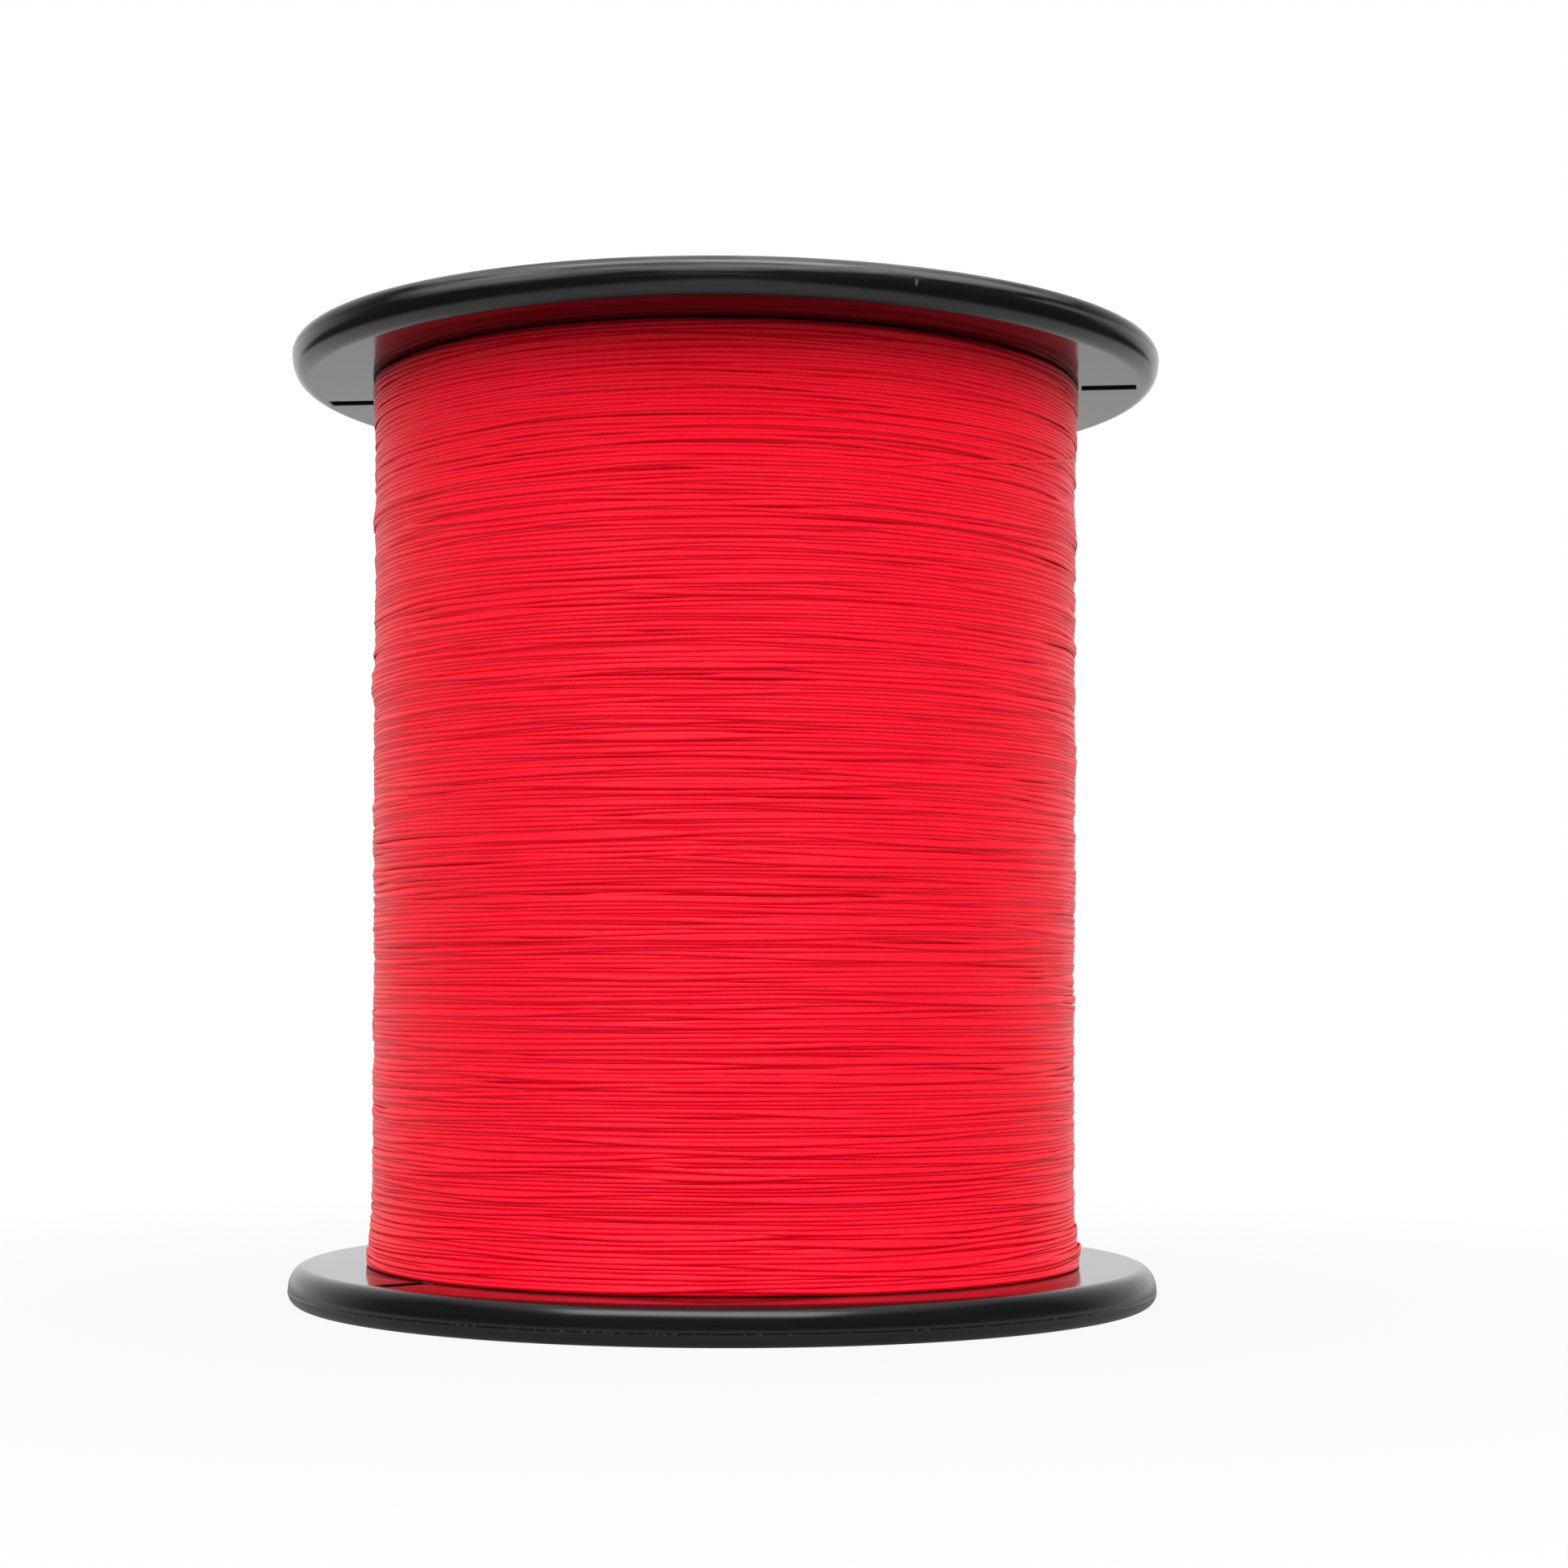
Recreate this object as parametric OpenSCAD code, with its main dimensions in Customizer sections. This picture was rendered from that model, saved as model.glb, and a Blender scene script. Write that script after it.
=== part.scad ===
// Bulk spool of braided fishing line: two moulded flanges glued on a tube, wound full of line.
// Millimetres, +Z up. The spool stands on its lower rim, with the origin at the centre of that rim.

/* [Spool] */
// Outer diameter of both flanges
flange_d = 114.3; // [108:0.1:150]
// Height of the whole spool, from rim to rim
spool_h = 125; // [60:1:200]
// Diameter of the spindle that the spool turns on
arbor_d = 15.875; // [8:0.125:20]
// Play between the spindle and its bore, on the diameter
arbor_play = 0.3; // [0.1:0.05:1]

/* [Flange moulding] */
// Height of a flange at its rim
rim_h = 4.9; // [4:0.1:8]
// Width of the turned rim that the spool stands on
rim_w = 2.8; // [2.6:0.1:5]
// Width of the long rounding next to the line
line_edge_w = 2.4; // [0.8:0.1:2.6]
// Radius of the edge that stands on the table
foot_edge_r = 1.6; // [0.3:0.1:1.9]
// Height of the upright band between the two roundings, where the mould parts
parting_h = 0.3; // [0.1:0.1:0.8]
// Thickness of the flat web
web_t = 3; // [2:0.1:3.5]
// Diameter of the stiffening ring on the outer face
stiff_ring_d = 83.4; // [76:0.1:96]
// Width of the stiffening ring
stiff_ring_w = 1.6; // [0.8:0.1:3]
// Height of the stiffening ring
stiff_ring_h = 0.7; // [0.3:0.1:1]
// Radius of the fillets in the corners of the outer face
corner_r = 0.8; // [0.3:0.1:1.2]

/* [Line slots] */
// Width of a slot that holds the line's end
slot_w = 2.8; // [1:0.1:4]
// Length of a slot along the radius
slot_l = 7; // [5:0.5:12]
// Web that stays between a slot and the rim
slot_land = 0.2; // [0.2:0.1:2]
// Slots in each flange
slot_count = 2; // [1:1:4]
// Angle of the first slot in the lower flange
lower_slot_angle = 40; // [0:1:360]
// Angle of the first slot in the upper flange
upper_slot_angle = -8; // [-180:1:180]

/* [Hub] */
// Wall of the hub round the bore
hub_wall = 3.4; // [2:0.1:5]
// Depth from the rim's plane to the hub's outer end
hub_inset = 1; // [0.5:0.1:2]
// Length of the hub
hub_l = 15; // [12:0.5:30]
// Depth of the well round the hub, from the rim's plane
well_depth = 8; // [6:0.5:10]
// Thickness of the well's floor
well_floor_t = 2.5; // [1.5:0.1:4]
// Ribs between the hub and the well's wall
rib_count = 8; // [4:2:12]
// Thickness of a rib
rib_t = 1.8; // [1:0.1:3]
// Depth from the rim's plane to the ribs
rib_inset = 3.4; // [2.4:0.1:5]
// Diameter of a drive-pin hole in the well's floor
drive_hole_d = 6.5; // [3:0.1:8]
// Drive-pin holes in each flange
drive_hole_count = 2; // [1:1:2]
// Chamfer at the mouths of the bore
bore_chamfer = 0.6; // [0.2:0.1:1]

/* [Barrel] */
// Outer diameter of the tube that the line is wound on
barrel_d = 58; // [50:1:66]
// Wall of the tube
barrel_wall = 2.5; // [1.5:0.1:4]
// Depth of the groove that a tube end seats in
seat_depth = 1.2; // [0.5:0.1:1.8]
// Glue gap between tube and flange, on the radius
glue_gap = 0.1; // [0.05:0.05:0.3]
// Length of the plug that reaches into the tube, from the web's inner face
plug_l = 9; // [7:0.5:20]
// Wall of the plug
plug_wall = 2.4; // [1.5:0.1:3.5]

/* [Line] */
// Diameter of the braided line
line_d = 0.55; // [0.3:0.05:0.9]
// Diameter over the wound line
wound_d = 92.6; // [76:0.1:100]
// Gap between the wound line and what it lies against
wound_gap = 0.1; // [0.05:0.05:0.3]
// Gap between the wound line and each flange
end_gap = 0.3; // [0.1:0.1:1]
// Radius of the wound line's lower shoulder
lower_shoulder_r = 0.6; // [0.3:0.1:2]
// Radius of the wound line's upper shoulder
upper_shoulder_r = 1; // [0.3:0.1:2.5]
// How far the line piles up above its diameter at the lower flange, on the radius
lower_pile = 0.9; // [0:0.1:2]
// How far the line piles up at the upper flange
upper_pile = 0.3; // [0:0.1:2]
// Height over which the line piles up
pile_h = 12; // [4:1:20]
// Loops of the outermost layer that are drawn
outer_loops = 24; // [4:1:24]
// Distance from the first and last loop to the wound line's ends
loop_margin = 2.4; // [2:0.1:6]
// Turns of the line's start round the tube
start_loops = 2; // [1:1:3]
// Pitch of those turns
start_pitch = 1.4; // [1:0.1:2]

/* [Hidden] */
$fn = 144;

LOOP_RINGS = 24;
TUBE_SIDES = 6;
ARC_STEPS = 10;
PROFILE_STEPS = 8;
EPS = 0.01;

flange_r = flange_d / 2;
rim_in_r = flange_r - rim_w;
face_z = rim_h - web_t;
line_edge_h = rim_h - foot_edge_r - parting_h;
slot_out_r = rim_in_r - slot_land;
bore_r = (arbor_d + arbor_play) / 2;
hub_r = bore_r + hub_wall;
hub_top = hub_inset + hub_l;
barrel_r = barrel_d / 2;
barrel_in_r = barrel_r - barrel_wall;
seat_z = rim_h - seat_depth;
plug_r = barrel_in_r - glue_gap;
well_r = plug_r - plug_wall;
plug_top = rim_h + plug_l;
plug_lead = plug_wall / 3;
drive_r = (hub_r + well_r) / 2;

// The wound line runs from pack_z0 to pack_z1 and bulges by pile(z) at its ends.
pack_z0 = rim_h + end_gap;
pack_z1 = spool_h - rim_h - end_gap;
function pile(z) =
    lower_pile * pow(max(0, 1 - (z - pack_z0) / pile_h), 2)
    + upper_pile * pow(max(0, 1 - (pack_z1 - z) / pile_h), 2);

// A ring of straight chords dips inside its circle, so the core leaves room for that dip.
function chord_dip(r) = r * (1 - cos(180 / LOOP_RINGS));
function turn_r(z) = wound_d / 2 - line_d / 2 + pile(z);
function core_r(z) = turn_r(z) - chord_dip(turn_r(z)) - line_d / 2 - wound_gap;

loop_z0 = pack_z0 + loop_margin;
loop_z1 = pack_z1 - loop_margin;
loop_pitch = (loop_z1 - loop_z0) / outer_loops;

start_r = barrel_r + wound_gap + line_d / 2 + chord_dip(barrel_r + line_d);
start_z = pack_z0 + line_d;
start_room_r = start_r + 2 * line_d;
start_room_h = line_d + start_loops * start_pitch + 2 * line_d;

// Points on an oval about [cx, cz], rx wide and rz high, from angle a0 to a1. An arc is a round one.
function oval(cx, cz, rx, rz, a0, a1, steps = ARC_STEPS) =
    [for (i = [0 : steps]) let (a = a0 + (a1 - a0) * i / steps) [cx + rx * cos(a), cz + rz * sin(a)]];
function arc(cx, cz, r, a0, a1) = oval(cx, cz, r, r, a0, a1);

// A helix as [point, outward, along] frames, one for each ring of the tube.
function helix(loops, pitch, z0, radius) =
    [for (i = [0 : loops * LOOP_RINGS])
        let (
            a = i * 360 / LOOP_RINGS,
            z = z0 + i * pitch / LOOP_RINGS,
            r = radius(z),
            out = [cos(a), sin(a), 0],
            way = [-r * sin(a), r * cos(a), pitch / 360 * 180 / PI]
        )
        [[r * out.x, r * out.y, z], out, way / norm(way)]];

// Rings for a line that leaves one surface square to it, winds, and meets another square to it.
// A ring is [centre, first axis, second axis].
function wound_rings(frames, start_at, end_at) =
    let (
        a = frames[0],
        b = frames[len(frames) - 1],
        up_a = cross(a[2], a[1]),
        up_b = cross(b[2], b[1]),
        foot_a = [a[1].x * start_at, a[1].y * start_at, a[0].z],
        foot_b = [b[1].x * end_at, b[1].y * end_at, b[0].z],
        lead_a = (a[0] - foot_a) / norm(a[0] - foot_a),
        lead_b = (foot_b - b[0]) / norm(foot_b - b[0])
    )
    concat(
        [[foot_a, -a[2] * sign(lead_a * a[1]), up_a]],
        [[a[0], a[1] - a[2] * sign(lead_a * a[1]), up_a]],
        [for (i = [1 : len(frames) - 2]) [frames[i][0], frames[i][1], cross(frames[i][2], frames[i][1])]],
        [[b[0], b[1] - b[2] * sign(lead_b * b[1]), up_b]],
        [[foot_b, -b[2] * sign(lead_b * b[1]), up_b]]
    );

// One unbroken tube through rings, closed at both ends.
module tube(rings, diameter) {
    n = TUBE_SIDES;
    last = len(rings) - 1;
    points = [for (ring = rings, k = [0 : n - 1])
        ring[0] + diameter / 2 * (cos(k * 360 / n) * ring[1] + sin(k * 360 / n) * ring[2])];
    sides = [for (i = [0 : last - 1], k = [0 : n - 1])
        let (a = i * n + k, b = i * n + (k + 1) % n)
        each [[a, b, a + n], [b, b + n, a + n]]];
    first_cap = [for (k = [1 : n - 2]) [0, k + 1, k]];
    last_cap = [for (k = [1 : n - 2]) [last * n, last * n + k, last * n + k + 1]];
    polyhedron(points, concat(sides, first_cap, last_cap));
}

// The least distance between the surfaces of stretches of one tube that lie half a loop or more apart.
function least_gap(frames, diameter) =
    let (half = LOOP_RINGS / 2)
    min([for (i = [0 : len(frames) - 1 - half], j = [i + half : min(i + 3 * half, len(frames) - 1)])
        norm(frames[i][0] - frames[j][0])]) - diameter;

// Half section of a flange, from the foot ring's inner corner and round by the line side.
function flange_profile() = concat(
    [[rim_in_r, 0]],
    arc(flange_r - foot_edge_r, foot_edge_r, foot_edge_r, -90, 0),
    oval(flange_r - line_edge_w, rim_h - line_edge_h, line_edge_w, line_edge_h, 0, 90),
    [[barrel_r + glue_gap, rim_h], [barrel_r + glue_gap, seat_z], [plug_r, seat_z]],
    [[plug_r, plug_top - plug_lead], [plug_r - plug_lead, plug_top], [well_r, plug_top]],
    [[well_r, well_depth + well_floor_t], [hub_r, well_depth + well_floor_t]],
    [[hub_r, hub_top], [bore_r + bore_chamfer, hub_top], [bore_r, hub_top - bore_chamfer]],
    [[bore_r, hub_inset + bore_chamfer], [bore_r + bore_chamfer, hub_inset]],
    arc(hub_r - corner_r, hub_inset + corner_r, corner_r, -90, 0),
    [[hub_r, well_depth], [well_r, well_depth]],
    arc(well_r + corner_r, face_z + corner_r, corner_r, 180, 270),
    [for (side = [-1, 1], step = [0, 1])
        [stiff_ring_d / 2 + side * stiff_ring_w / 2, face_z - (step == (1 - side) / 2 ? stiff_ring_h : 0)]],
    arc(rim_in_r - corner_r, face_z - corner_r, corner_r, 90, 0)
);

module slot() {
    translate([slot_out_r - slot_l, -slot_w / 2, face_z - EPS - stiff_ring_h])
        cube([slot_l, slot_w, web_t + stiff_ring_h + 2 * EPS]);
}

module ribs() {
    overlap = 0.4;
    for (i = [0 : rib_count - 1])
        rotate([0, 0, (i + 0.5) * 360 / rib_count])
            translate([hub_r - overlap, -rib_t / 2, rib_inset])
                cube([well_r - hub_r + 2 * overlap, rib_t, well_depth - rib_inset + overlap]);
}

module flange(slot_angle) {
    color("#1b1c1e") {
        difference() {
            union() {
                rotate_extrude() polygon(flange_profile());
                ribs();
            }
            for (i = [0 : slot_count - 1])
                rotate([0, 0, slot_angle + i * 360 / slot_count]) slot();
            for (i = [0 : drive_hole_count - 1])
                rotate([0, 0, i * 360 / drive_hole_count])
                    translate([drive_r, 0, well_depth - EPS])
                        cylinder(d = drive_hole_d, h = well_floor_t + 2 * EPS);
        }
    }
}

// The flange that the spool stands on.
module lower_flange() {
    flange(lower_slot_angle);
}

// The same moulding, turned over on the other end of the tube.
module upper_flange() {
    translate([0, 0, spool_h]) mirror([0, 0, 1]) flange(upper_slot_angle);
}

// The tube between the flanges.
module barrel() {
    color("#2b2c2f")
        translate([0, 0, seat_z])
            rotate_extrude()
                translate([barrel_in_r, 0]) square([barrel_wall, spool_h - 2 * seat_z]);
}

// The line's inner end: it lies on the tube, winds round it and goes out into the wound line.
module line_start() {
    frames = helix(start_loops, start_pitch, start_z + line_d, function (z) start_r);
    color("#c4122a")
        tube(wound_rings(frames, barrel_r + EPS, start_room_r - EPS), line_d);
}

// The wound line under its outermost layer, one plain body on the tube.
module line_pack() {
    steps = [for (i = [0 : PROFILE_STEPS]) i / PROFILE_STEPS];
    lower_z = pack_z0 + lower_shoulder_r;
    upper_z = pack_z1 - upper_shoulder_r;
    profile = concat(
        [[start_room_r, pack_z0]],
        arc(core_r(lower_z) - lower_shoulder_r, lower_z, lower_shoulder_r, -90, 0),
        [for (s = steps) let (z = lower_z + s * pile_h) [core_r(z), z]],
        [for (s = steps) let (z = upper_z - (1 - s) * pile_h) [core_r(z), z]],
        arc(core_r(upper_z) - upper_shoulder_r, upper_z, upper_shoulder_r, 0, 90),
        [[barrel_r + wound_gap, pack_z1], [barrel_r + wound_gap, pack_z0 + start_room_h]],
        [[start_room_r, pack_z0 + start_room_h]]
    );
    color("#d8142c") rotate_extrude() polygon(profile);
}

// The outermost layer: one unbroken line that comes out of the wound line and goes back into it.
module outer_line_turns() {
    frames = helix(outer_loops, loop_pitch, loop_z0, function (z) turn_r(z));
    echo(str("outer_line_turns: least gap to itself ", least_gap(frames, line_d), " mm"));
    foot_z0 = frames[0][0].z;
    foot_z1 = frames[len(frames) - 1][0].z;
    color("#f0203a")
        tube(wound_rings(frames, core_r(foot_z0) + EPS, core_r(foot_z1) + EPS), line_d);
}

lower_flange();
upper_flange();
barrel();
line_start();
line_pack();
outer_line_turns();
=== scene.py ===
# %% [markdown]
# # A bulk spool of braided fishing line
#
# The object is a black plastic spool, 114.3 mm across and 125 mm high, wound full of bright red
# braided line. Its look comes from two things: glossy moulded flanges that mirror what is round
# them, and some two hundred turns of thin line that lie side by side, cross at small angles and
# leave narrow gaps. The frame below brings in the construction model, which fixes every size.

# %% Load the frame
import math

import bpy
import numpy as np
from mathutils import Matrix, Quaternion, Vector


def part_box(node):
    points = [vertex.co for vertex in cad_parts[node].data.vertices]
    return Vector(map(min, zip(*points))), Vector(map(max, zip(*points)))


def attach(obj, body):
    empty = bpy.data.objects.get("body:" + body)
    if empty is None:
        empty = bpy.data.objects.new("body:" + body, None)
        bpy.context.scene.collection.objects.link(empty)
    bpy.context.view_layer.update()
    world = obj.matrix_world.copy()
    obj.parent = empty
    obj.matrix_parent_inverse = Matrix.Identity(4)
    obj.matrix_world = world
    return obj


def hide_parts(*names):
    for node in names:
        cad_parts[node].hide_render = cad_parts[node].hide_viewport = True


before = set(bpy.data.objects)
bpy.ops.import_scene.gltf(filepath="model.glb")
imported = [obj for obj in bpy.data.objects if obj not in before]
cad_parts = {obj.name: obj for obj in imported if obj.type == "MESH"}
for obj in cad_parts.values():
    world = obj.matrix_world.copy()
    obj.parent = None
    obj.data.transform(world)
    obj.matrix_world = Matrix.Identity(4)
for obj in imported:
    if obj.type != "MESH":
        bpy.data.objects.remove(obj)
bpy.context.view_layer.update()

print("nodes:", sorted(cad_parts))

# %% [markdown]
# ## Measures
#
# The large measures come from the nodes' own boxes, so the dressing follows the construction. Only
# the wound line's radius and the height of the flanges' inner faces are set here. Lengths are in
# metres, as everywhere in Blender. `MM` keeps small sizes readable.

# %% Measures taken from the frame
MM = 0.001

pack_low, pack_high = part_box("line_pack")
start_low, start_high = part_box("line_start")

FLANGE_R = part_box("lower_flange")[1].x
SPOOL_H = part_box("upper_flange")[1].z
BARREL_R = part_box("barrel")[1].x
PACK_Z0 = pack_low.z
PACK_Z1 = pack_high.z
WOUND_R = 46.3 * MM
FACE_LOW = 4.95 * MM
FACE_HIGH = SPOOL_H - FACE_LOW

print(f"flange radius {FLANGE_R / MM:.2f} mm, height {SPOOL_H / MM:.1f} mm")
print(f"wound line from {PACK_Z0 / MM:.2f} to {PACK_Z1 / MM:.2f} mm")

# %% [markdown]
# ## Camera
#
# The camera stands just under 0.4 metres away and 41 mm above the table, nearly level, so that it
# looks onto the lower flange and under the upper one. A level camera keeps the spool's upright
# sides parallel. The spool would then sit high in the frame, so the lens is shifted instead of
# tilted, as architects do. The frame is square, so a sensor of 36 mm serves both ways.

# %% The camera
CAMERA_DISTANCE = 393.47 * MM
CAMERA_HEIGHT = 41.1 * MM
CAMERA_PITCH = math.radians(0.615)
CAMERA_YAW = math.radians(1.151)
CAMERA_ROLL = math.radians(0.2)
FOCAL_PIXELS = 3642.6
HORIZON_DROP = 212.6
FRAME_PIXELS = 1932
SENSOR = 36


def make_camera():
    """The view of the spool: yaw turns it to the right, pitch tilts it up."""
    data = bpy.data.cameras.new("view")
    data.sensor_width = SENSOR
    data.lens = FOCAL_PIXELS / FRAME_PIXELS * SENSOR
    data.shift_y = HORIZON_DROP / FRAME_PIXELS
    data.clip_start = 0.01
    camera = bpy.data.objects.new("view", data)
    bpy.context.scene.collection.objects.link(camera)
    forward = Vector(
        (
            math.sin(CAMERA_YAW) * math.cos(CAMERA_PITCH),
            math.cos(CAMERA_YAW) * math.cos(CAMERA_PITCH),
            math.sin(CAMERA_PITCH),
        )
    )
    camera.location = (0, -CAMERA_DISTANCE, CAMERA_HEIGHT)
    camera.rotation_mode = "QUATERNION"
    level = forward.to_track_quat("-Z", "Y")
    camera.rotation_quaternion = level @ Quaternion((0, 0, 1), CAMERA_ROLL)
    bpy.context.scene.camera = camera
    return camera


camera = make_camera()
print(f"lens {camera.data.lens:.1f} mm, shift {camera.data.shift_y:.3f}")

# %% [markdown]
# ## Small tools for meshes
#
# Most shapes here are either turned or stacked. A turned shape is an outline swept round the axis.
# A stacked shape is a flat outline repeated at several heights, each a little wider or narrower.
# Both come down to a list of points and a list of faces.

# %% Turned and stacked shapes


def add_piece(name, mesh):
    piece = bpy.data.objects.new(name, mesh)
    bpy.context.scene.collection.objects.link(piece)
    return piece


def mesh_of(name, points, faces):
    mesh = bpy.data.meshes.new(name)
    mesh.from_pydata([tuple(p) for p in points], [], faces)
    mesh.validate()
    return mesh


def swept_faces(segments, count):
    """The faces between copies of a closed outline of `count` points, all the way round."""
    faces = []
    for segment in range(segments):
        here, there = segment * count, (segment + 1) % segments * count
        for k in range(count):
            n = (k + 1) % count
            faces.append((here + k, there + k, there + n, here + n))
    return faces


def turned(outline, segments):
    """A closed outline of (radius, height) swept round the axis."""
    angles = np.arange(segments) * 2 * math.pi / segments
    points = [(r * math.cos(a), r * math.sin(a), z) for a in angles for r, z in outline]
    return points, swept_faces(segments, len(outline))


def stacked(outline, levels):
    """A solid through `outline(grow)` at every level, given as (height, grow), upwards."""
    rings = [[(x, y, z) for x, y in outline(grow)] for z, grow in levels]
    count = len(rings[0])
    faces = [tuple(range(count))[::-1]]
    for level in range(len(rings) - 1):
        low = level * count
        for k in range(count):
            n = (k + 1) % count
            faces.append((low + k, low + n, low + count + n, low + count + k))
    faces.append(tuple(range((len(rings) - 1) * count, len(rings) * count)))
    return [p for ring in rings for p in ring], faces


def swung(shape, degrees):
    """A shape turned about the axis."""
    c, s = math.cos(math.radians(degrees)), math.sin(math.radians(degrees))
    return [(c * x - s * y, s * x + c * y, z) for x, y, z in shape[0]], shape[1]


def gathered(shapes):
    """Several separate shapes as one list of points and one of faces."""
    points, faces = [], []
    for shape_points, shape_faces in shapes:
        faces += [tuple(len(points) + v for v in face) for face in shape_faces]
        points += shape_points
    return points, faces


# %% [markdown]
# No moulded part has a truly sharp corner, and it is the small radius that catches the light.
# `rounded` takes an outline with a radius for each corner. Beside every rounding it sets one more
# point on the straight, a guard, so that smooth shading can't bend the flat face next to it.

# %% Rounded outlines
GUARD = 0.08


def rounded(corners, steps=3):
    """An outline with its corners (x, y, radius) rounded, in millimetres."""
    outline = []
    for k, (x, y, radius) in enumerate(corners):
        here = np.array((x, y), float)
        if not radius:
            outline.append((x, y))
            continue
        back = np.array(corners[k - 1][:2]) - here
        on = np.array(corners[(k + 1) % len(corners)][:2]) - here
        back, on = back / np.linalg.norm(back), on / np.linalg.norm(on)
        half = math.acos(np.clip(back @ on, -1, 1)) / 2
        cut = radius / math.tan(half)
        middle = here + (back + on) / np.linalg.norm(back + on) * radius / math.sin(half)
        first, last = here + back * cut - middle, here + on * cut - middle
        start = math.atan2(first[1], first[0])
        sweep = (math.atan2(last[1], last[0]) - start + math.pi) % (2 * math.pi) - math.pi
        outline.append(tuple(here + back * (cut + GUARD)))
        for a in start + sweep * np.arange(steps + 1) / steps:
            outline.append((middle[0] + radius * math.cos(a), middle[1] + radius * math.sin(a)))
        outline.append(tuple(here + on * (cut + GUARD)))
    return outline


def oval(cx, cz, rx, rz, start, end, steps):
    """Corners along an oval arc, its angles in degrees."""
    turn = np.radians(np.linspace(start, end, steps + 1))
    return [(cx + rx * math.cos(a), cz + rz * math.sin(a), 0) for a in turn]


# %% [markdown]
# ## The flanges
#
# Each flange is one moulding, and both are the same. From outside to inside it has:
#
# - a rim that the spool stands on, with a foot rounded to 1.6 mm and a long oval edge towards the
#   line, so that the line doesn't catch,
# - the parting line just above the foot, where the two halves of the mould meet. They never meet
#   exactly, so there is a step of a few hundredths of a millimetre,
# - a flat web with two radial slots that hold the line's end,
# - a groove that the tube sits in, a plug inside the tube, and a well with ribs and the hub.
#
# The outline repeats the construction's, with finer roundings.

# %% The flange's outline
FLANGE_OUTLINE = [
    (54.35, 0, 0.2),
    (55.45, 0, 0),
    *oval(55.55, 1.6, 1.6, 1.6, -90, 0, 12),
    (57.15, 1.70, 0),
    (57.11, 1.78, 0),
    *oval(54.75, 1.9, 2.36, 3.0, 0, 90, 28),
    (54.6, 4.9, 0),
    (29.1, 4.9, 0.2),
    (29.1, 3.7, 0),
    (26.4, 3.7, 0.3),
    (26.4, 13.1, 0.3),
    (25.6, 13.9, 0.3),
    (24, 13.9, 0.2),
    (24, 10.5, 0.5),
    (11.4875, 10.5, 0.5),
    (11.4875, 16, 0.4),
    (8.6875, 16, 0.1),
    (8.0875, 15.4, 0.1),
    (8.0875, 1.6, 0.1),
    (8.6875, 1, 0.1),
    *oval(10.6875, 1.8, 0.8, 0.8, -90, 0, 6),
    (11.4875, 8, 0.6),
    (24, 8, 0.6),
    *oval(24.8, 2.7, 0.8, 0.8, 180, 270, 6),
    (25.0, 1.9, 0),
    (40.9, 1.9, 0.15),
    (40.9, 1.2, 0.15),
    (42.5, 1.2, 0.15),
    (42.5, 1.9, 0.15),
    (53.4, 1.9, 0),
    *oval(53.55, 1.1, 0.8, 0.8, 90, 0, 6),
]

flange_outline = rounded(FLANGE_OUTLINE)
print(f"{len(flange_outline)} points in the outline")

# %% [markdown]
# The slots, the drive holes and the marks of the mould aren't round the axis, so they are cut or
# added afterwards. Each cutter is a stack: it widens at both faces, which leaves a small chamfer.
# The mould's marks are the four discs of its ejector pins and the dimple where the plastic came in.
# Here and in the outline sizes are in millimetres, and `mould_flange` turns them into metres. AT is
# a distance from the axis, and levels are pairs of a height and of how much the shape grows there.

# %% Cutters and ribs
CHAMFER = 0.2
SLOT_CHAMFER = 0.12
OUTSIDE = 1
WEB = (1.9, 4.9)
WELL = (8, 10.5)
SLOT_FROM, SLOT_TO, SLOT_WIDE = 47.15, 54.15, 2.8
HOLE_AT, HOLE_R = 17.744, 3.25
PIN_AT, PIN_R, PIN_DEEP = 47.5, 2.5, 0.12
GATE_AT, GATE_R, GATE_DEEP, GATE_FLARE = 14.6, 1.6, 0.5, 0.6
RIB_COUNT = 8
RIB_FROM, RIB_TO, RIB_WIDE = 11.09, 24.4, 1.6
RIB_LEVELS = [(3.4, -0.2), (3.55, 0), (8.4, 0.1)]
NUB_R = 0.6
NUB_LEVELS = [(7.9, 0), (8.2, 0.1), (8.7, 0.1)]


def box_outline(x0, x1, width):
    """A rectangle along X that can grow on all sides."""

    def grown(grow):
        half = width / 2 + grow
        return [(x0 - grow, -half), (x1 + grow, -half), (x1 + grow, half), (x0 - grow, half)]

    return grown


def disc_outline(x, radius, sides=48):
    """A circle at a distance from the axis that can grow."""

    def grown(grow):
        turn = np.arange(sides) * 2 * math.pi / sides
        return [(x + (radius + grow) * math.cos(a), (radius + grow) * math.sin(a)) for a in turn]

    return grown


def through(low, high, chamfer=CHAMFER):
    """The levels of a cutter that goes through a wall and chamfers both of its mouths."""
    return [
        (low - chamfer, 2 * chamfer),
        (low + chamfer, 0),
        (high - chamfer, 0),
        (high + chamfer, 2 * chamfer),
    ]


def slot_cutters(angle):
    slot = stacked(box_outline(SLOT_FROM, SLOT_TO, SLOT_WIDE), through(*WEB, SLOT_CHAMFER))
    return [swung(slot, angle), swung(slot, angle + 180)]


def hole_cutters():
    hole = stacked(disc_outline(HOLE_AT, HOLE_R), through(*WELL))
    return [hole, swung(hole, 180)]


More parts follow.
